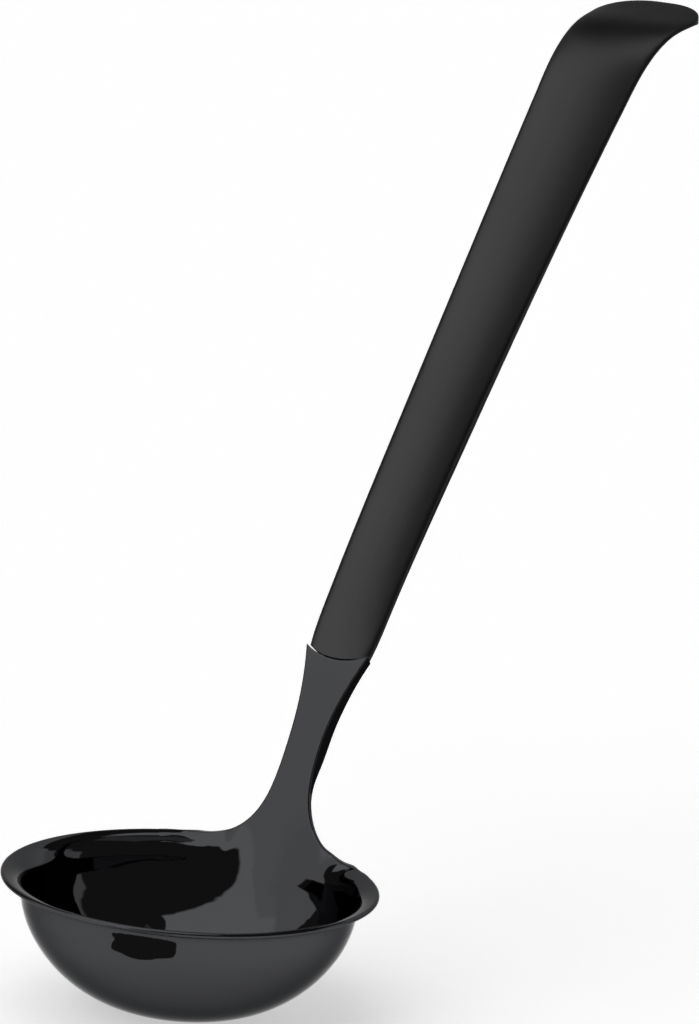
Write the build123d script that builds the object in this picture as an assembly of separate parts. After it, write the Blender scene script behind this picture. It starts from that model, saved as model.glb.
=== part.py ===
from build123d import *
import os
from math import asin, cos, radians, sin

# Soup ladle: a deep drawn bowl with a flared lip that sweeps up into a channel neck,
# and a hollow handle of two pressed shells that holds the neck's tang bar.
# Millimetres. +Z is the axis of the bowl, which opens upwards. The handle rises in the
# XZ plane towards +X. The origin is the middle of the bowl's small flat foot.

# Bowl
rim_radius = 44.9
lip_reach = 4.8
rim_height = 31.1
foot_radius = 8.0
bottom_rise = 4.6
widest_drop = 2.3
sheet = 1.2
body_radius = rim_radius - lip_reach
side_arc_radius = rim_height - widest_drop - bottom_rise

# Collar: the lip and the root of the neck, pressed in one with the bowl
collar_drop = 8.0
lip_drop = 5.1
lip_lean_angle = 82.0
lip_start_pull = 3.0
lip_end_pull = 3.6
root_drop = 0.4
root_height = 12.0
root_spare = 1.5
lip_shave = 0.02
root_flat_angle = 12.0
root_turn_angle = 20.0
lip_round_angle = 30.0
lip_full_angle = 40.0
lip_join_angle = 42.0
root_loft_angle = 60.0
flare_half_width = 25.0
waist_half_width = 4.5
waist_height = 25.0
root_base = rim_height - root_drop

# Side line: tangent arcs up the front of neck and handle, leans from upright in degrees
root_lean_angle = 13.7
neck_length = 35.0
neck_lean_angle = 32.2
grip_entry_length = 72.5
grip_entry_lean_angle = 38.8
grip_length = 115.8
grip_lean_angle = 41.2
bend_length = 28.4
tip_lean_angle = 79.5
tip_length = 18.0

# Neck channel
channel_depth = 4.4
channel_mouth_depth = 3.9

# Handle
mouth_run = 49.4
tongue_radius = 16.0
mouth_gap = 0.35
shoulder_run = 60.2
mouth_half_width = 8.1
shoulder_half_width = 9.05
tip_half_width = 15.15
tip_flare_width = 0.7
belly_run = 110.0
mouth_front_crown = 1.6
belly_front_crown = 2.2
bend_front_crown = 1.9
tip_front_crown = 1.1
mouth_back_crown = 3.4
belly_back_crown = 5.3
bend_back_crown = 2.9
tip_back_crown = 1.9
shell_wall = 0.8
tip_corner_radius = 13.0
hollow_end_run = 214.0
mouth_spare = 3.0

# Tang bar, socket and pins inside the mouth of the handle
bar_thickness = 2.4
bar_half_width = 4.0
bar_start_run = 19.0
bar_full_run = 29.0
bar_start_thickness = 0.6
bar_end_run = 118.0
socket_start_run = 57.0
socket_end_run = 84.0
pin_radius = 1.2
pin_runs = (62.0, 75.0)
fit_clearance = 0.1
socket_clearance = 0.3
pin_clearance = 0.05

# One overrun serves all cuts
overrun = 5.0
joining_tolerance = 0.001
collar_joining_tolerance = 0.004
neck_joining_tolerance = 0.00005

# Counts of steps in the lofts
collar_steps = 20
flare_steps = 9
neck_steps = 6
channel_steps = 8
hollow_steps = 24
solid_steps = 9
socket_steps = 2
bar_steps = 12
slot_steps = 6

# Shares and exponents of the curves
edge_round_share = 2 / 3
flare_share = 2.8
waist_share = 1.9
root_fall_share = 3.0
section_share = 0.66
width_line_share = 0.45

top_run = neck_length + grip_entry_length + grip_length + bend_length + tip_length
bend_run = neck_length + grip_entry_length + grip_length
tip_run = bend_run + bend_length


# Side line

def stretches():
    """Each stretch of the side line: its length and the lean at its end."""
    return (
        (neck_length, neck_lean_angle),
        (grip_entry_length, grip_entry_lean_angle),
        (grip_length, grip_lean_angle),
        (bend_length, tip_lean_angle),
        (tip_length, tip_lean_angle),
    )


def side_line(run):
    """Place and lean on the front of neck and handle, at a length above the root's base."""
    x, z, lean = body_radius, root_base, root_lean_angle
    left = run
    for index, (length, end_lean) in enumerate(stretches()):
        last = index == len(stretches()) - 1
        step = left if last else min(left, length)
        new_lean = lean + (end_lean - lean) * step / length
        middle = radians((lean + new_lean) / 2)
        half_turn = radians(new_lean - lean) / 2
        chord = step * sin(half_turn) / half_turn if half_turn else step
        x += chord * sin(middle)
        z += chord * cos(middle)
        lean = new_lean
        left -= step
        if left <= 0:
            break
    return x, z, lean


def behind(run, depth):
    """Point in the XZ plane at a depth behind the side line."""
    x, z, lean = side_line(run)
    angle = radians(lean)
    return Vector(x + depth * cos(angle), 0, z - depth * sin(angle))


def run_at_height(height):
    """Length along the side line where it reaches a height above the root's base."""
    low, high = 0, top_run
    while high - low > top_run / 1e9:
        middle = (low + high) / 2
        if side_line(middle)[1] - root_base < height:
            low = middle
        else:
            high = middle
    return low


def station_plane(run):
    """Plane across the handle: its X runs across, its Y points to the back."""
    x, z, lean = side_line(run)
    angle = radians(lean)
    return Plane(origin=(x, 0, z), x_dir=(0, -1, 0), z_dir=(sin(angle), 0, cos(angle)))


def facing_plane(run):
    """Plane on the front face: its X runs across, its Y runs up the side line."""
    x, z, lean = side_line(run)
    angle = radians(lean)
    return Plane(origin=(x, 0, z), x_dir=(0, -1, 0), z_dir=(-cos(angle), 0, sin(angle)))


def eased(run, stations, sizes):
    """Size at a run, eased in and out between the stations."""
    if run <= stations[0]:
        return sizes[0]
    for start, end, size, next_size in zip(stations, stations[1:], sizes, sizes[1:]):
        if run <= end:
            share = (run - start) / (end - start)
            return size + (next_size - size) * share * share * (3 - 2 * share)
    return sizes[-1]


# Bowl and neck

def bottom_arc_radius():
    """Radius of the arc that joins the foot to the side arc, tangent to both."""
    across = body_radius - side_arc_radius - foot_radius
    height = rim_height - widest_drop
    return (across**2 + height**2 - side_arc_radius**2) / (2 * (height - side_arc_radius))


def side_arc_point(inset, drop):
    """Point on the side arc at a drop below the rim, and the lean there in radians."""
    radius = side_arc_radius - inset
    angle = asin((drop - widest_drop) / radius)
    return Vector(body_radius - side_arc_radius + radius * cos(angle), 0, rim_height - drop), angle


def bowl_arcs(inset):
    """Bottom arc and side arc of the bowl's skin, from the foot up to the collar."""
    bottom_radius = bottom_arc_radius()
    side_centre = Vector(body_radius - side_arc_radius, 0, rim_height - widest_drop)
    bottom_centre = Vector(foot_radius, 0, bottom_radius)
    away = (side_centre - bottom_centre).normalized()
    meeting = side_centre + away * (side_arc_radius - inset)
    foot_edge = bottom_centre - Vector(0, 0, bottom_radius - inset)
    top, top_angle = side_arc_point(inset, collar_drop)
    between = (away + Vector(cos(top_angle), 0, -sin(top_angle))).normalized()
    side_middle = side_centre + between * (side_arc_radius - inset)
    down = (away + Vector(0, 0, -1)).normalized()
    bottom_middle = bottom_centre + down * (bottom_radius - inset)
    bottom = Edge.make_three_point_arc(foot_edge, bottom_middle, meeting)
    side = Edge.make_three_point_arc(meeting, side_middle, top)
    return bottom, side, foot_edge, top


def lower_bowl():
    """The drawn bowl below the collar, turned about Z."""
    bottom, side, foot_edge, top = bowl_arcs(0)
    inner_bottom, inner_side, inner_foot_edge, inner_top = bowl_arcs(sheet)
    axis_low = Vector(0, 0, 0)
    axis_high = Vector(0, 0, sheet)
    profile = Wire(
        [
            Edge.make_line(axis_low, foot_edge),
            bottom,
            side,
            Edge.make_line(top, inner_top),
            inner_side,
            inner_bottom,
            Edge.make_line(inner_foot_edge, axis_high),
            Edge.make_line(axis_high, axis_low),
        ]
    )
    return revolve(Face(profile), Axis.Z)


def collar_end(angle):
    """Where the collar's inner skin ends at an angle from the handle: radius, height, lean."""
    share = min(max((angle - root_flat_angle) / (lip_full_angle - root_flat_angle), 0), 1)
    height = (root_height + root_spare) * (1 - share) ** root_fall_share
    x, z, lean = side_line(run_at_height(height))
    flare = eased(angle, (root_flat_angle, lip_round_angle), (0, 1))
    lip_end = rim_radius - sheet / 2 - sheet / 2 * cos(radians(lip_lean_angle))
    radius = x / cos(radians(min(angle, root_turn_angle))) * (1 - flare) + lip_end * flare
    full = eased(angle, (root_flat_angle, lip_full_angle), (0, 1))
    return radius, height + root_drop * full, lean * (1 - full) + lip_lean_angle * full


def uphill(lean):
    """Direction up a wall with a lean in radians."""
    return Vector(sin(lean), 0, cos(lean))


def collar_section(angle):
    """Thin section of the collar in the upright plane at an angle from the handle."""
    turn = Rotation(0, 0, angle)
    angle = abs(angle)
    radius, height, lean = collar_end(angle)
    end_lean = radians(lean)
    rise = height + lip_drop
    full = eased(angle, (root_flat_angle, lip_full_angle), (0, 1))
    start_pull = rise / 3 * (1 - full) + lip_start_pull * full
    end_pull = rise / 3 * (1 - full) + lip_end_pull * full
    skins = []
    for inset, depth in ((sheet, 0), (0, sheet)):
        start, start_angle = side_arc_point(inset, collar_drop)
        arc_end, arc_end_angle = side_arc_point(inset, lip_drop)
        straight = uphill(start_angle) * ((collar_drop - lip_drop) / cos(start_angle))
        middle = (start + straight) * (1 - full) + arc_end * full
        middle_lean = start_angle * (1 - full) + arc_end_angle * full
        pull = (middle - start).length / 3
        end = Vector(radius + depth * cos(end_lean), 0, root_base + height - depth * sin(end_lean))
        low = (start, start + uphill(start_angle) * pull, middle - uphill(middle_lean) * pull, middle)
        first = middle + uphill(middle_lean) * start_pull
        second = end - uphill(end_lean) * end_pull
        skins.append((low, (middle, first, second, end)))
    (inner_low, inner), (outer_low, outer) = skins
    bulge = uphill(end_lean) * sheet * edge_round_share
    section = Wire(
        [
            Edge.make_bezier(*inner_low),
            Edge.make_bezier(*inner),
            Edge.make_bezier(inner[3], inner[3] + bulge, outer[3] + bulge, outer[3]),
            Edge.make_bezier(*reversed(outer)),
            Edge.make_bezier(*reversed(outer_low)),
            Edge.make_line(outer_low[0], inner_low[0]),
        ]
    )
    return turn * section


def flare_point(turn):
    """Point of the neck's outline between rim and waist, as half width and height above the base."""
    angle = radians(turn)
    reach = flare_half_width - waist_half_width
    across = waist_half_width + reach * (1 - sin(angle) ** (2 / flare_share))
    rise = (waist_height - root_drop) * (1 - cos(angle) ** (2 / flare_share))
    return across, root_drop + rise


def neck_half_width(height):
    """Half width of the neck above its waist, at a height above the root's base."""
    mouth_height = side_line(mouth_run)[1] - root_base
    share = (height - waist_height) / (mouth_height - waist_height)
    return waist_half_width + (mouth_half_width - waist_half_width) * share**waist_share


def neck_edge_points(inset):
    """Right edge of the neck seen from the front, from the rim up past the mouth."""
    low = [flare_point(turn) for turn in evenly(0, 90, flare_steps)[1:-1]]
    top_height = side_line(mouth_run + overrun)[1] - root_base
    heights = evenly(waist_height, top_height, neck_steps)
    high = [(neck_half_width(height), height) for height in heights]
    return [Vector(0, across - inset, root_base + height) for across, height in low + high]


def front_outline(inset, start_height):
    """Solid standing for all that lies within the neck's outline, cut through along X."""
    points = [p for p in neck_edge_points(inset) if p.Z > root_base + start_height]
    mirrored = [Vector(0, -p.Y, p.Z) for p in reversed(points)]
    outline = Wire(
        [
            Edge.make_spline(points),
            Edge.make_line(points[-1], mirrored[0]),
            Edge.make_spline(mirrored),
            Edge.make_line(mirrored[-1], points[0]),
        ]
    )
    return Pos(foot_radius, 0, 0) * extrude(Face(outline), rim_radius * 2, dir=(1, 0, 0))


def collar():
    """Lip and root of the neck as one skin: lofted and trimmed at the neck, turned elsewhere."""
    angles = evenly(-root_loft_angle, root_loft_angle, collar_steps)
    root = Solid.make_loft([collar_section(angle) for angle in angles])
    lip = revolve(Face(collar_section(lip_join_angle)), Axis.Z, 360 - 2 * lip_join_angle)
    edge = neck_edge_points(0)
    top = edge[-1].Z + overrun
    low = Vector(0, flare_half_width, rim_height + lip_shave)
    side = Vector(0, rim_radius, rim_height + lip_shave)
    corner = Vector(0, rim_radius, top)
    inner_corner = Vector(0, edge[-1].Y, top)
    outside = Wire(
        [
            Edge.make_spline([low] + edge),
            Edge.make_line(edge[-1], inner_corner),
            Edge.make_line(inner_corner, corner),
            Edge.make_line(corner, side),
            Edge.make_line(side, low),
        ]
    )
    trim = Pos(foot_radius, 0, 0) * extrude(Face(outside), rim_radius * 2, dir=(1, 0, 0))
    above = Pos(0, 0, root_base + root_height) * Box(
        rim_radius * 4, rim_radius * 4, waist_height, align=(Align.CENTER, Align.CENTER, Align.MIN)
    )
    size = rim_radius * 4
    left = Rotation(0, 0, lip_join_angle) * Box(
        size, size, size, align=(Align.CENTER, Align.MIN, Align.CENTER)
    )
    right = Rotation(0, 0, -lip_join_angle) * Box(
        size, size, size, align=(Align.CENTER, Align.MAX, Align.CENTER)
    )
    root = root - trim - mirror(trim, about=Plane.XZ) - above - left - right
    return root.fuse(lip, tol=collar_joining_tolerance)


def channel_depth_at(run):
    """How far the turned-back edges of the neck reach behind its front."""
    low = run_at_height(root_height)
    waist = run_at_height(waist_height)
    stations = (low, waist, neck_length, mouth_run)
    return eased(run, stations, (sheet, channel_depth, channel_depth, channel_mouth_depth))


def front_edges(start_run, end_run, depth):
    """Edges that follow the side line at a depth behind it, one arc for each stretch."""
    limits = [start_run]
    total = 0
    for length, end_lean in stretches():
        total += length
        if start_run < total < end_run:
            limits.append(total)
    limits.append(end_run)
    edges = []
    for first, last in zip(limits, limits[1:]):
        middle = (first + last) / 2
        edges.append(
            Edge.make_three_point_arc(behind(first, depth), behind(middle, depth), behind(last, depth))
        )
    return edges


def side_slab(start_run, end_run, depth, back_points, half_width):
    """Slab seen from the side between a line behind the front and a back line."""
    front = front_edges(start_run, end_run, depth)
    back = Edge.make_spline(back_points)
    profile = Wire(
        front
        + [
            Edge.make_line(behind(end_run, depth), back_points[0]),
            back,
            Edge.make_line(back_points[-1], behind(start_run, depth)),
        ]
    )
    return extrude(Face(profile), half_width, both=True, dir=(0, 1, 0))


def neck():
    """Neck channel above the root: a flat front with its two edges turned back."""
    low = run_at_height(root_height)
    high = mouth_run + overrun
    runs = evenly(high, low, channel_steps)
    back = [behind(run, channel_depth_at(run)) for run in runs]
    deep = [behind(run, channel_depth_at(run) + overrun) for run in runs]
    block = side_slab(low - overrun, high, 0, back + [behind(low - overrun, sheet)], flare_half_width)
    block = block & front_outline(0, 0)
    hollow = side_slab(low - overrun, high, sheet, deep + [behind(low - overrun, overrun)], flare_half_width)
    hollow = hollow & front_outline(sheet, 0)
    below = Pos(0, 0, root_base + root_height) * Box(
        rim_radius * 4, rim_radius * 4, rim_radius * 2, align=(Align.CENTER, Align.CENTER, Align.MAX)
    )
    return block - hollow - below


def tongue(radius):
    """Cylinder through the mouth, standing off the front, whose rim is the handle's end."""
    place = facing_plane(mouth_run) * Pos(0, tongue_radius, 0)
    return place * Cylinder(radius, tongue_radius * 2)


def ladle_head():
    """Bowl, lip and neck: one pressed sheet."""
    head = lower_bowl().fuse(collar(), tol=collar_joining_tolerance)
    head = head.fuse(neck(), tol=neck_joining_tolerance)
    return head - tongue(tongue_radius + mouth_gap)


# Handle

def handle_half_width(run):
    """Half width of the handle, which rounds out of the mouth and widens to the tip."""
    if run < shoulder_run:
        share = (shoulder_run - run) / (shoulder_run - mouth_run)
        return shoulder_half_width - (shoulder_half_width - mouth_half_width) * share**2
    share = (run - shoulder_run) / (top_run - shoulder_run)
    widening = width_line_share * share + (1 - width_line_share) * share**2
    flare = tip_flare_width * max(0, (run - bend_run) / (top_run - bend_run)) ** 2
    return shoulder_half_width + (tip_half_width - shoulder_half_width) * widening + flare


def crowns(run):
    """Depth of the front shell and of the back shell at a run."""
    stations = (mouth_run, belly_run, bend_run, tip_run)
    fronts = (mouth_front_crown, belly_front_crown, bend_front_crown, tip_front_crown)
    backs = (mouth_back_crown, belly_back_crown, bend_back_crown, tip_back_crown)
    return eased(run, stations, fronts), eased(run, stations, backs)


def crown_edges(run, inset, front):
    """Rounded outline of one half of the handle's section, as two quarters."""
    front_crown, back_crown = crowns(run)
    width = handle_half_width(run) - inset
    rise = inset - front_crown if front else back_crown - inset
    place = station_plane(run)

    def local(across, out):
        return place.from_local_coords(Vector(across, front_crown + out, 0))

    pull = section_share
    right = [local(width, 0), local(width, rise * pull), local(width * pull, rise), local(0, rise)]
    left = [local(0, rise), local(-width * pull, rise), local(-width, rise * pull), local(-width, 0)]
    return [Edge.make_bezier(*right), Edge.make_bezier(*left)]


def solid_section(run, front):
    """Closed section of one half of the handle, solid up to the plane of the side weld."""
    crown = crown_edges(run, 0, front)
    return Wire(crown + [Edge.make_line(crown[1] @ 1, crown[0] @ 0)])


def shell_section(run, front):
    """Closed section of one half of the handle where it is a thin shell."""
    crown = crown_edges(run, 0, front)
    hollow = crown_edges(run, shell_wall, front)
    right_edge = Edge.make_line(crown[1] @ 1, hollow[1] @ 1)
    left_edge = Edge.make_line(hollow[0] @ 0, crown[0] @ 0)
    return Wire(crown + [right_edge] + hollow + [left_edge])


def full_section(run, inset):
    """Closed section of both halves together, or of the hollow in them."""
    return Wire(crown_edges(run, inset, True) + crown_edges(run, inset, False))


def shell_half(front):
    """One pressed half of the handle, hollow up to the bend, flat and rounded at the tip."""
    hollow_runs = evenly(mouth_run - mouth_spare, hollow_end_run, hollow_steps)
    solid_runs = evenly(hollow_end_run, top_run, solid_steps)
    hollow = Solid.make_loft([shell_section(run, front) for run in hollow_runs])
    closed = Solid.make_loft([solid_section(run, front) for run in solid_runs])
    half = hollow.fuse(closed, tol=joining_tolerance)
    return half - mouth_cutter() - tip_cutter()


def evenly(start, end, count):
    """Runs from start to end, evenly spaced, both ends included."""
    return [start + (end - start) * index / count for index in range(count + 1)]


def mouth_cutter():
    """What is trimmed off the handle below its tongue-shaped end."""
    height = tongue_radius + overrun * 2
    across = (shoulder_half_width + overrun) * 2
    block = Pos(0, tongue_radius, 0) * Box(
        across, height, tongue_radius * 2, align=(Align.CENTER, Align.MAX, Align.CENTER)
    )
    return facing_plane(mouth_run) * block - tongue(tongue_radius)


def tip_cutter():
    """What is trimmed off the end of the handle to round its two corners."""
    half_width = handle_half_width(top_run - tip_corner_radius)
    block = Pos(0, -tip_corner_radius, 0) * Box(
        (half_width + overrun) * 2,
        tip_corner_radius + overrun,
        overrun * 2,
        align=(Align.CENTER, Align.MIN, Align.CENTER),
    )
    middle = Box(
        (half_width - tip_corner_radius) * 2,
        tip_corner_radius * 2,
        overrun * 2,
        align=(Align.CENTER, Align.MAX, Align.CENTER),
    )
    kept = middle
    for side in (-1, 1):
        corner = Cylinder(tip_corner_radius, overrun * 2)
        kept = kept + Pos(side * (half_width - tip_corner_radius), -tip_corner_radius, 0) * corner
    return facing_plane(top_run) * (block - kept)


# Inside the handle

def pin(run, radius, start_depth, end_depth):
    """Cross pin at a run, from front to back."""
    lean = radians(side_line(run)[2])
    place = Plane(origin=behind(run, start_depth), z_dir=(cos(lean), 0, -sin(lean)))
    length = end_depth - start_depth
    return place * Cylinder(radius, length, align=(Align.CENTER, Align.CENTER, Align.MIN))


def pin_holes(radius):
    """Holes for the cross pins, right through."""
    return [pin(run, radius, -overrun, overrun * 2) for run in pin_runs]


def tang_bar():
    """Bar nested in the neck channel, whose upper end is the tang inside the handle."""
    front = sheet + fit_clearance
    full = front + bar_thickness
    thin = front + bar_start_thickness
    runs = evenly(bar_end_run, bar_start_run, bar_steps)
    depths = [eased(run, (bar_start_run, bar_full_run), (thin, full)) for run in runs]
    back = [behind(run, depth) for run, depth in zip(runs, depths)]
    slab = side_slab(bar_start_run, bar_end_run, front, back, bar_half_width)
    above = Pos(0, 0, side_line(mouth_run)[1]) * Box(
        top_run * 2, bar_half_width * 2, top_run, align=(Align.CENTER, Align.CENTER, Align.MIN)
    )
    guide = front_outline(sheet + fit_clearance, 0) + above
    return (slab & guide) - pin_holes(pin_radius + pin_clearance)


def tang_socket():
    """Moulded plug that fills the mouth of the hollow handle round the tang."""
    runs = evenly(socket_start_run, socket_end_run, socket_steps)
    plug = Solid.make_loft([full_section(run, shell_wall + socket_clearance) for run in runs])
    start = socket_start_run - overrun
    end = socket_end_run + overrun
    deep = sheet + bar_thickness + fit_clearance * 2
    back = [behind(run, deep) for run in evenly(end, start, slot_steps)]
    slot = side_slab(start, end, sheet, back, bar_half_width + fit_clearance)
    return plug - slot - pin_holes(pin_radius + pin_clearance)


def tang_pins():
    """Two cross pins through socket and tang."""
    pins = []
    for run in pin_runs:
        front_crown, back_crown = crowns(run)
        inset = shell_wall + fit_clearance * 2
        pins.append(pin(run, pin_radius, inset, front_crown + back_crown - inset))
    return Compound(pins)


PARTS = {
    "bowl_and_neck": ladle_head,
    "handle_front_shell": lambda: shell_half(True),
    "handle_back_shell": lambda: shell_half(False),
    "tang_bar": tang_bar,
    "tang_socket": tang_socket,
    "tang_pins": tang_pins,
}


if __name__ == "__main__":
    os.makedirs("parts", exist_ok=True)
    for name, make in PARTS.items():
        export_step(make(), f"parts/{name}.step")
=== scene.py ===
import math

import bmesh
import bpy
from bpy.props import FloatProperty, FloatVectorProperty, PointerProperty
from mathutils import Matrix, Vector

bl_info = {
    "name": "Soup ladle",
    "version": (1, 0, 0),
    "blender": (4, 5, 0),
    "location": "View3D > Sidebar > Ladle",
    "description": "Finishes for the head and handle of a soup ladle, with a plain studio",
    "category": "Object",
}

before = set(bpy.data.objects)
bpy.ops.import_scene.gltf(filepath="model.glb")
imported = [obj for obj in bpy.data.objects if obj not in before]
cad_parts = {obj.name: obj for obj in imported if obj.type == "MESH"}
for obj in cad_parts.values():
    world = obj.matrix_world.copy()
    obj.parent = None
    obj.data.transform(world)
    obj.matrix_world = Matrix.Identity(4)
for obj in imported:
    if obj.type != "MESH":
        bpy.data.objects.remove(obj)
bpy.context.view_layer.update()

PHOTO_WIDTH = 699
PHOTO_HEIGHT = 1024
SENSOR = 36.0

# How much of a metal's reflection stays where it is seen at a low angle
HEAD_EDGE = 0.45
HANDLE_EDGE = 0.4
PLAIN_EDGE = 1

# Soft edges: how finely they are sampled, and how round the bar's are beside the sheet's
BEVEL_SAMPLES = 8
TANG_EDGE_SHARE = 1 / 3

# Rounded areas of the studio's dome, painted one over the other: turn and half turn round
# the bowl's axis and rise and half rise above the horizon in degrees, how square the area
# is, the studio level that lights it, and the share of that level
DOME_AREAS = (
    (139, 31, -8, 53, 1.6, "panel_level", 1),
    (-44, 44, 47, 59, 3.6, "card_level", 0.78),
    (61, 87, 13, 45, 1.6, "card_level", 1.16),
    (-111, 66, 38, 25, 2, "drape_level", 1),
    (-31, 43, 64, 29, 3.6, "drape_level", 1),
    (-78, 38, 66, 10, 2.5, "drape_level", 1),
    (83, 19, 23, 31, 3.6, "drape_level", 1),
    (26, 34, 43, 9, 2.5, "drape_level", 1),
    (-124, 60, 6, 41, 3.6, "drape_level", 1),
)
AREA_EDGE = 0.06

# Dark cards and a pale one outside the picture: name, whether it is round, half sizes,
# turn and lean in degrees, place, and brightness
CARDS = (
    ("front card", True, (0.017, 0.023), 0, 0, (-0.073, -0.011, 0.0003), 0.09),
    ("back card", False, (0.6, 0.16), -27, 0, (0.715, -0.317, 0.0006), 0.09),
    ("handle card", False, (0.115, 0.028), 0, -47, (0.102, -0.005, 0.215), 0.27),
    ("bend card", False, (0.012, 0.02), 38, 43, (0.211, 0.02, 0.258), 0.04),
    ("pale card", False, (0.115, 0.025), 0, -47, (0.106, 0.065, 0.182), 1.1),
)
ROUND_CARD_CORNERS = 48


# Sizes and colours

class LadleFinish(bpy.types.PropertyGroup):
    """Colours and finishes of the ladle."""

    head_colour: FloatVectorProperty(
        name="Head colour", description="Reflectance of the dark mirror coating",
        subtype="COLOR", size=3, min=0, max=1, default=(0.062, 0.063, 0.067),
    )
    head_roughness: FloatProperty(
        name="Head roughness", description="Roughness of the polished head",
        subtype="FACTOR", min=0, max=1, default=0.03,
    )
    handle_colour: FloatVectorProperty(
        name="Handle colour", description="Reflectance of the black coat on the handle",
        subtype="COLOR", size=3, min=0, max=1, default=(0.056, 0.056, 0.057),
    )
    handle_roughness: FloatProperty(
        name="Handle roughness", description="Roughness of the satin coat",
        subtype="FACTOR", min=0, max=1, default=0.37,
    )
    tang_colour: FloatVectorProperty(
        name="Tang colour", description="Reflectance of the coated flat bar",
        subtype="COLOR", size=3, min=0, max=1, default=(0.065, 0.065, 0.068),
    )
    tang_roughness: FloatProperty(
        name="Tang roughness", description="Roughness of the coated flat bar",
        subtype="FACTOR", min=0, max=1, default=0.16,
    )
    socket_colour: FloatVectorProperty(
        name="Socket colour", description="Colour of the moulded socket",
        subtype="COLOR", size=3, min=0, max=1, default=(0.02, 0.02, 0.02),
    )
    socket_roughness: FloatProperty(
        name="Socket roughness", description="Roughness of the moulded socket",
        subtype="FACTOR", min=0, max=1, default=0.6,
    )
    pin_colour: FloatVectorProperty(
        name="Pin colour", description="Reflectance of the plain steel pins",
        subtype="COLOR", size=3, min=0, max=1, default=(0.56, 0.56, 0.55),
    )
    pin_roughness: FloatProperty(
        name="Pin roughness", description="Roughness of the plain steel pins",
        subtype="FACTOR", min=0, max=1, default=0.3,
    )
    edge_radius: FloatProperty(
        name="Edge radius", description="Soft corner that polishing leaves on the sheet's edges",
        subtype="DISTANCE", unit="LENGTH", min=0, default=0.0008,
    )
    hairline_size: FloatProperty(
        name="Hairline size", description="Distance between the fine lines of the polish",
        subtype="DISTANCE", unit="LENGTH", min=0, default=0.0004,
    )
    grain_size: FloatProperty(
        name="Grain size", description="Size of the grain in coats and plastic",
        subtype="DISTANCE", unit="LENGTH", min=0, default=0.0003,
    )
    smudge_size: FloatProperty(
        name="Smudge size", description="Size of the faint uneven patches",
        subtype="DISTANCE", unit="LENGTH", min=0, default=0.03,
    )


class LadleStudio(bpy.types.PropertyGroup):
    """Camera, floor and lights."""

    azimuth: FloatProperty(
        name="Azimuth", description="Camera's turn round the bowl's axis",
        subtype="ANGLE", unit="ROTATION", default=math.radians(-59.53),
    )
    elevation: FloatProperty(
        name="Elevation", description="Camera's height above the horizon, as an angle",
        subtype="ANGLE", unit="ROTATION", default=math.radians(15.78),
    )
    roll: FloatProperty(
        name="Roll", description="Camera's roll about its line of sight",
        subtype="ANGLE", unit="ROTATION", default=math.radians(-4.16),
    )
    distance: FloatProperty(
        name="Distance", description="From the camera to the middle of the rim",
        subtype="DISTANCE", unit="LENGTH", default=1.25,
    )
    rim_height: FloatProperty(
        name="Rim height", description="Height of the bowl's rim above its foot",
        subtype="DISTANCE", unit="LENGTH", default=0.0307,
    )
    focal_pixels: FloatProperty(
        name="Focal length", description="Focal length in pixels of the photograph",
        default=5273.2,
    )
    rim_pixel: FloatVectorProperty(
        name="Rim pixel", description="Where the middle of the rim falls in the photograph",
        size=2, default=(190.3, 881.3),
    )
    floor_size: FloatProperty(
        name="Floor size", description="Width of the floor",
        subtype="DISTANCE", unit="LENGTH", default=12.0,
    )
    floor_colour: FloatVectorProperty(
        name="Floor colour", description="Colour of the floor",
        subtype="COLOR", size=3, min=0, max=1, default=(0.9, 0.9, 0.9),
    )
    floor_lift: FloatProperty(
        name="Floor lift", description="Light added to the floor's own look so it reads as white",
        min=0, default=0.5,
    )
    ceiling_level: FloatProperty(
        name="Ceiling level", description="Brightness of the studio's white ceiling",
        min=0, default=1.17,
    )
    panel_level: FloatProperty(
        name="Panel level", description="Brightness of the white panel on the left",
        min=0, default=0.97,
    )
    card_level: FloatProperty(
        name="Card level", description="Brightness of the grey cards behind the handle",
        min=0, default=0.75,
    )
    drape_level: FloatProperty(
        name="Drape level", description="Brightness of the dark drapes",
        min=0, default=0.08,
    )


# Materials

def new_material(name):
    """Empty node material with an output and a shader."""
    material = bpy.data.materials.new(name)
    material.use_nodes = True
    nodes = material.node_tree.nodes
    nodes.clear()
    shader = nodes.new("ShaderNodeBsdfPrincipled")
    output = nodes.new("ShaderNodeOutputMaterial")
    material.node_tree.links.new(shader.outputs["BSDF"], output.inputs["Surface"])
    return material, shader


def give(node_name, material):
    """Puts the material in every slot of a CAD node."""
    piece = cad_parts[node_name]
    piece.data.materials.clear()
    piece.data.materials.append(material)


def math_node(nodes, links, operation, *values):
    """Math node of an operation on sockets or numbers."""
    node = nodes.new("ShaderNodeMath")
    node.operation = operation
    for socket, value in zip(node.inputs, values):
        if isinstance(value, (int, float)):
            socket.default_value = value
        else:
            links.new(value, socket)
    return node.outputs[0]


def new_group(name, inputs, outputs):
    """Node group with named sockets and its two ends; an input is name: (type, default)."""
    group = bpy.data.node_groups.new(name, "ShaderNodeTree")
    for socket, (kind, default) in inputs.items():
        item = group.interface.new_socket(socket, in_out="INPUT", socket_type=kind)
        item.default_value = default
    for socket, kind in outputs.items():
        group.interface.new_socket(socket, in_out="OUTPUT", socket_type=kind)
    return group, group.nodes.new("NodeGroupInput"), group.nodes.new("NodeGroupOutput")


def noise_node(nodes, links, vector, scale, detail):
    """Noise of a given detail; vector and scale are sockets."""
    noise = nodes.new("ShaderNodeTexNoise")
    noise.inputs["Detail"].default_value = detail
    links.new(vector, noise.inputs["Vector"])
    links.new(scale, noise.inputs["Scale"])
    return noise.outputs["Fac"]


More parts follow.
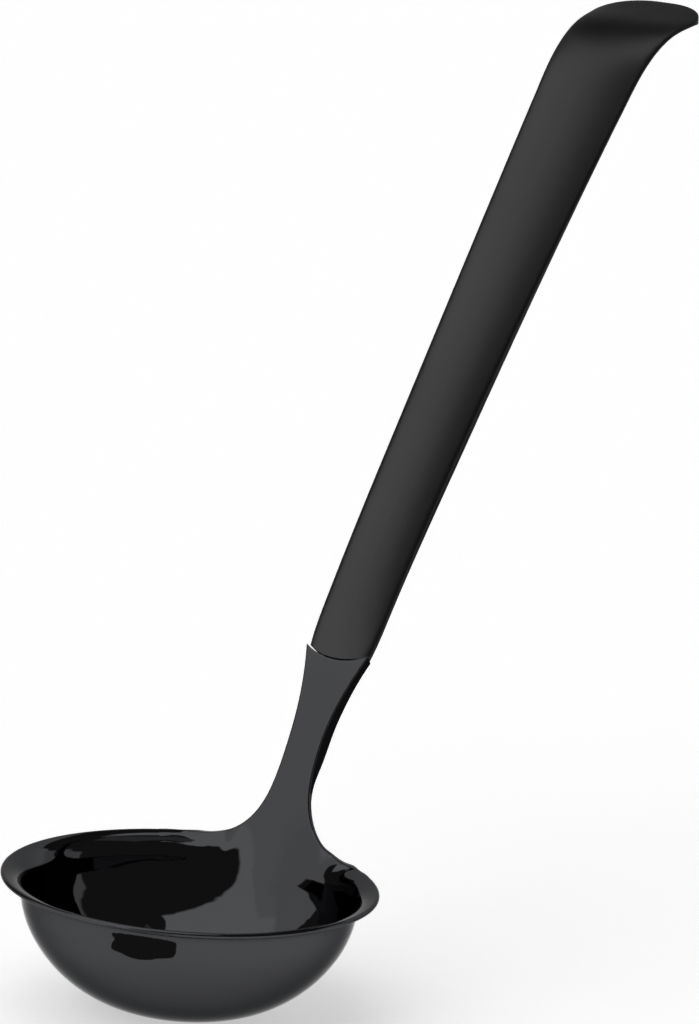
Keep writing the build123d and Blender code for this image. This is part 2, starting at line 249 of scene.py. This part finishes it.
def surface_group():
    """Shared surface detail: grain or hairlines, faint patches and a height, built once."""
    name = "surface detail"
    if name in bpy.data.node_groups:
        return bpy.data.node_groups[name]
    group, start, end = new_group(name, {
        "Colour": ("NodeSocketColor", (0.1, 0.1, 0.1, 1)),
        "Roughness": ("NodeSocketFloat", 0.3),
        "Stretch": ("NodeSocketVector", (1, 1, 1)),
        "Grain scale": ("NodeSocketFloat", 3000),
        "Patch scale": ("NodeSocketFloat", 30),
        "Colour change": ("NodeSocketFloat", 0.05),
        "Roughness change": ("NodeSocketFloat", 0.02),
    }, {
        "Colour": "NodeSocketColor",
        "Roughness": "NodeSocketFloat",
        "Height": "NodeSocketFloat",
    })
    nodes, links, given = group.nodes, group.links, start.outputs
    place = nodes.new("ShaderNodeTexCoord").outputs["Object"]
    stretch = nodes.new("ShaderNodeVectorMath")
    stretch.operation = "MULTIPLY"
    links.new(place, stretch.inputs[0])
    links.new(given["Stretch"], stretch.inputs[1])
    grain = noise_node(nodes, links, stretch.outputs["Vector"], given["Grain scale"], detail=3)
    patch = noise_node(nodes, links, place, given["Patch scale"], detail=2)
    both = math_node(nodes, links, "ADD", grain, patch)
    swing = math_node(nodes, links, "SUBTRACT", both, 1)

    colour_share = math_node(nodes, links, "MULTIPLY", swing, given["Colour change"])
    tint = nodes.new("ShaderNodeVectorMath")
    tint.operation = "SCALE"
    links.new(given["Colour"], tint.inputs["Vector"])
    links.new(math_node(nodes, links, "ADD", colour_share, 1), tint.inputs["Scale"])
    links.new(tint.outputs["Vector"], end.inputs["Colour"])

    roughness_share = math_node(nodes, links, "MULTIPLY", swing, given["Roughness change"])
    roughness = math_node(nodes, links, "ADD", given["Roughness"], roughness_share)
    roughness.node.use_clamp = True
    links.new(roughness, end.inputs["Roughness"])
    links.new(grain, end.inputs["Height"])
    return group


def finish_material(
    name, colour, roughness, grain, patch, bump, metal_edge=None, edge_radius=0, **extra,
):
    """Material with the shared surface detail.

    grain and patch are sizes and bump is the height of the grain. metal_edge makes it a metal
    and says how much of its reflection stays at a low angle, edge_radius softens its edges,
    and extra sets more inputs of the group.
    """
    material, shader = new_material(name)
    nodes, links = material.node_tree.nodes, material.node_tree.links
    surface = nodes.new("ShaderNodeGroup")
    surface.node_tree = surface_group()
    surface.inputs["Colour"].default_value = (*colour, 1)
    surface.inputs["Roughness"].default_value = roughness
    surface.inputs["Grain scale"].default_value = 1 / grain
    surface.inputs["Patch scale"].default_value = 1 / patch
    for socket, value in extra.items():
        surface.inputs[socket.replace("_", " ").capitalize()].default_value = value
    links.new(surface.outputs["Colour"], shader.inputs["Base Color"])
    links.new(surface.outputs["Roughness"], shader.inputs["Roughness"])
    relief = nodes.new("ShaderNodeBump")
    relief.inputs["Strength"].default_value = 1
    relief.inputs["Distance"].default_value = bump
    links.new(surface.outputs["Height"], relief.inputs["Height"])
    links.new(relief.outputs["Normal"], shader.inputs["Normal"])
    if metal_edge is not None:
        shader.inputs["Metallic"].default_value = 1
        shader.inputs["Specular Tint"].default_value = (metal_edge, metal_edge, metal_edge, 1)
    if edge_radius:
        edge = nodes.new("ShaderNodeBevel")
        edge.samples = BEVEL_SAMPLES
        edge.inputs["Radius"].default_value = edge_radius
        links.new(edge.outputs["Normal"], relief.inputs["Normal"])
    return material


class LADLE_OT_head(bpy.types.Operator):
    """Finish the bowl and neck as one dark mirror-polished sheet"""

    bl_idname = "ladle.head"
    bl_label = "Bowl and neck"

    def execute(self, context):
        finish = context.scene.ladle_finish
        material = finish_material(
            "dark mirror", finish.head_colour, finish.head_roughness,
            grain=finish.hairline_size, patch=finish.smudge_size, bump=2e-8,
            metal_edge=HEAD_EDGE, edge_radius=finish.edge_radius,
            stretch=(1, 1, 0.08), colour_change=0.06, roughness_change=0.015,
        )
        give("bowl_and_neck", material)
        return {"FINISHED"}


class LADLE_OT_handle(bpy.types.Operator):
    """Finish the two handle shells in satin black"""

    bl_idname = "ladle.handle"
    bl_label = "Handle"

    def execute(self, context):
        finish = context.scene.ladle_finish
        material = finish_material(
            "satin black", finish.handle_colour, finish.handle_roughness,
            grain=finish.grain_size, patch=finish.smudge_size, bump=1.5e-6,
            metal_edge=HANDLE_EDGE, colour_change=0.2, roughness_change=0.04,
        )
        give("handle_front_shell", material)
        give("handle_back_shell", material)
        return {"FINISHED"}


class LADLE_OT_tang(bpy.types.Operator):
    """Finish the flat bar behind the neck in brushed, coated steel"""

    bl_idname = "ladle.tang"
    bl_label = "Tang bar"

    def execute(self, context):
        finish = context.scene.ladle_finish
        material = finish_material(
            "tang steel", finish.tang_colour, finish.tang_roughness,
            grain=finish.hairline_size, patch=finish.smudge_size, bump=3e-7,
            metal_edge=HEAD_EDGE, edge_radius=finish.edge_radius * TANG_EDGE_SHARE,
            stretch=(0.06, 1, 0.06), colour_change=0.15, roughness_change=0.05,
        )
        give("tang_bar", material)
        return {"FINISHED"}


class LADLE_OT_socket(bpy.types.Operator):
    """Finish the moulded socket in matte plastic"""

    bl_idname = "ladle.socket"
    bl_label = "Tang socket"

    def execute(self, context):
        finish = context.scene.ladle_finish
        material = finish_material(
            "socket plastic", finish.socket_colour, finish.socket_roughness,
            grain=finish.grain_size, patch=finish.smudge_size, bump=8e-6,
            colour_change=0.25, roughness_change=0.1,
        )
        give("tang_socket", material)
        return {"FINISHED"}


class LADLE_OT_pins(bpy.types.Operator):
    """Finish the two cross pins in plain steel"""

    bl_idname = "ladle.pins"
    bl_label = "Cross pins"

    def execute(self, context):
        finish = context.scene.ladle_finish
        material = finish_material(
            "pin steel", finish.pin_colour, finish.pin_roughness,
            grain=finish.hairline_size, patch=finish.smudge_size, bump=1e-6,
            metal_edge=PLAIN_EDGE,
            stretch=(1, 0.05, 1), colour_change=0.12, roughness_change=0.1,
        )
        give("tang_pins", material)
        return {"FINISHED"}


# Studio

class LADLE_OT_stage(bpy.types.Operator):
    """Set up the camera, the floor and the lights"""

    bl_idname = "ladle.stage"
    bl_label = "Studio"

    def execute(self, context):
        studio = context.scene.ladle_studio
        add_camera(context, studio)
        add_floor(context, studio)
        add_cards(context)
        add_world(context, studio)
        context.scene.view_settings.view_transform = "Standard"
        return {"FINISHED"}


def add_camera(context, studio):
    """Camera at the photograph's viewing angle and framing."""
    data = bpy.data.cameras.new("camera")
    data.sensor_width = SENSOR
    data.lens = studio.focal_pixels * SENSOR / PHOTO_HEIGHT
    data.clip_end = studio.floor_size * 2
    camera = bpy.data.objects.new("camera", data)
    context.scene.collection.objects.link(camera)
    turn, rise = studio.azimuth, studio.elevation
    reach = math.cos(rise)
    back = Vector((math.sin(turn) * reach, -math.cos(turn) * reach, math.sin(rise)))
    right = Vector((math.cos(turn), math.sin(turn), 0))
    up = back.cross(right)
    facing = Matrix((right, up, back)).transposed()
    across = (studio.rim_pixel[0] - PHOTO_WIDTH / 2) / studio.focal_pixels
    above = (PHOTO_HEIGHT / 2 - studio.rim_pixel[1]) / studio.focal_pixels
    aside = Vector((0, 0, -1)).rotation_difference(Vector((across, above, -1)).normalized())
    spin = Matrix.Rotation(studio.roll, 3, "Z")
    turned = facing @ (aside.to_matrix() @ spin).transposed()
    place = Vector((0, 0, studio.rim_height)) + back * studio.distance
    camera.matrix_world = Matrix.Translation(place) @ turned.to_4x4()
    context.scene.camera = camera


def add_floor(context, studio):
    """Plain pale floor under the ladle."""
    mesh = bpy.data.meshes.new("floor")
    shape = bmesh.new()
    bmesh.ops.create_grid(shape, x_segments=1, y_segments=1, size=studio.floor_size / 2)
    shape.to_mesh(mesh)
    shape.free()
    floor = bpy.data.objects.new("floor", mesh)
    context.scene.collection.objects.link(floor)
    material, shader = new_material("floor")
    shader.inputs["Base Color"].default_value = (*studio.floor_colour, 1)
    shader.inputs["Roughness"].default_value = 1
    shader.inputs["Specular IOR Level"].default_value = 0
    shader.inputs["Emission Color"].default_value = (1, 1, 1, 1)
    nodes, links = material.node_tree.nodes, material.node_tree.links
    path = nodes.new("ShaderNodeLightPath").outputs
    seen = math_node(nodes, links, "MAXIMUM", path["Is Camera Ray"], path["Is Glossy Ray"])
    seen = math_node(nodes, links, "MAXIMUM", seen, path["Is Transmission Ray"])
    lift = math_node(nodes, links, "MULTIPLY", seen, studio.floor_lift)
    links.new(lift, shader.inputs["Emission Strength"])
    mesh.materials.append(material)


def add_cards(context):
    """Cards in front of and behind the ladle, above its handle and bend, and beside the handle."""
    for name, is_round, half_size, turn, lean, place, level in CARDS:
        shape = bmesh.new()
        if is_round:
            bmesh.ops.create_circle(shape, cap_ends=True, segments=ROUND_CARD_CORNERS, radius=1)
        else:
            bmesh.ops.create_grid(shape, x_segments=1, y_segments=1, size=1)
        bmesh.ops.scale(shape, verts=shape.verts, vec=(*half_size, 1))
        for angle, axis in ((lean, "Y"), (turn, "Z")):
            spin = Matrix.Rotation(math.radians(angle), 3, axis)
            bmesh.ops.rotate(shape, verts=shape.verts, matrix=spin)
        bmesh.ops.translate(shape, verts=shape.verts, vec=place)
        add_stage_piece(context, name, shape, level)


def add_stage_piece(context, name, shape, level):
    """Puts a studio piece of an even brightness into the scene."""
    mesh = bpy.data.meshes.new(name)
    shape.to_mesh(mesh)
    shape.free()
    sheet = bpy.data.objects.new(name, mesh)
    context.scene.collection.objects.link(sheet)
    sheet.visible_camera = False
    sheet.visible_diffuse = False
    sheet.visible_shadow = False
    material = bpy.data.materials.new(name)
    material.use_nodes = True
    nodes = material.node_tree.nodes
    nodes.clear()
    glow = nodes.new("ShaderNodeEmission")
    glow.inputs["Color"].default_value = (level, level, level, 1)
    output = nodes.new("ShaderNodeOutputMaterial")
    material.node_tree.links.new(glow.outputs["Emission"], output.inputs["Surface"])
    mesh.materials.append(material)


def add_world(context, studio):
    """Soft studio dome: white ceiling and panel, grey cards and dark drapes."""
    world = bpy.data.worlds.new("studio")
    context.scene.world = world
    world.use_nodes = True
    nodes, links = world.node_tree.nodes, world.node_tree.links
    direction = nodes.new("ShaderNodeTexCoord").outputs["Generated"]
    level = nodes.new("ShaderNodeValue").outputs[0]
    level.default_value = studio.ceiling_level
    for *place, source, share in DOME_AREAS:
        mask = dome_area(nodes, links, direction, place)
        mix = nodes.new("ShaderNodeMix")
        links.new(mask, mix.inputs["Factor"])
        links.new(level, mix.inputs["A"])
        mix.inputs["B"].default_value = getattr(studio, source) * share
        level = mix.outputs["Result"]
    background = nodes["Background"]
    background.inputs["Color"].default_value = (1, 1, 1, 1)
    links.new(level, background.inputs["Strength"])


def dome_area(nodes, links, direction, place):
    """Mask of a rounded area of the dome, from its middle and half sizes in degrees."""
    turn, half_turn, rise, half_rise, power = place
    spin = nodes.new("ShaderNodeVectorRotate")
    spin.rotation_type = "Z_AXIS"
    spin.inputs["Angle"].default_value = -math.radians(turn)
    links.new(direction, spin.inputs["Vector"])
    split = nodes.new("ShaderNodeSeparateXYZ")
    links.new(spin.outputs["Vector"], split.inputs["Vector"])
    across = math_node(nodes, links, "ARCTAN2", split.outputs["Y"], split.outputs["X"])
    across = math_node(nodes, links, "DIVIDE", across, math.radians(half_turn))
    up = math_node(nodes, links, "ARCSINE", split.outputs["Z"])
    up = math_node(nodes, links, "SUBTRACT", up, math.radians(rise))
    up = math_node(nodes, links, "DIVIDE", up, math.radians(half_rise))
    parts = []
    for value in (across, up):
        size = math_node(nodes, links, "ABSOLUTE", value)
        parts.append(math_node(nodes, links, "POWER", size, power))
    total = math_node(nodes, links, "ADD", *parts)
    edge = nodes.new("ShaderNodeMapRange")
    edge.inputs["From Min"].default_value = 1 - AREA_EDGE
    edge.inputs["From Max"].default_value = 1 + AREA_EDGE
    edge.inputs["To Min"].default_value = 1
    edge.inputs["To Max"].default_value = 0
    links.new(total, edge.inputs["Value"])
    return edge.outputs["Result"]


class LADLE_PT_sidebar(bpy.types.Panel):
    """Buttons for the pieces of the ladle and for the studio"""

    bl_idname = "LADLE_PT_sidebar"
    bl_label = "Soup ladle"
    bl_space_type = "VIEW_3D"
    bl_region_type = "UI"
    bl_category = "Ladle"

    def draw(self, context):
        finish = context.scene.ladle_finish
        studio = context.scene.ladle_studio
        for group in (finish, studio):
            for key in group.__annotations__:
                self.layout.prop(group, key)
        for operator in OPERATORS:
            self.layout.operator(operator.bl_idname)


OPERATORS = (
    LADLE_OT_head, LADLE_OT_handle, LADLE_OT_tang, LADLE_OT_socket, LADLE_OT_pins, LADLE_OT_stage,
)
CLASSES = (LadleFinish, LadleStudio, *OPERATORS, LADLE_PT_sidebar)


def register():
    for item in CLASSES:
        bpy.utils.register_class(item)
    bpy.types.Scene.ladle_finish = PointerProperty(type=LadleFinish)
    bpy.types.Scene.ladle_studio = PointerProperty(type=LadleStudio)


def unregister():
    del bpy.types.Scene.ladle_studio
    del bpy.types.Scene.ladle_finish
    for item in reversed(CLASSES):
        bpy.utils.unregister_class(item)


def main():
    """Makes the finishes and the studio."""
    register()
    bpy.ops.ladle.head()
    bpy.ops.ladle.handle()
    bpy.ops.ladle.tang()
    bpy.ops.ladle.socket()
    bpy.ops.ladle.pins()
    bpy.ops.ladle.stage()


if __name__ == "__main__":
    main()
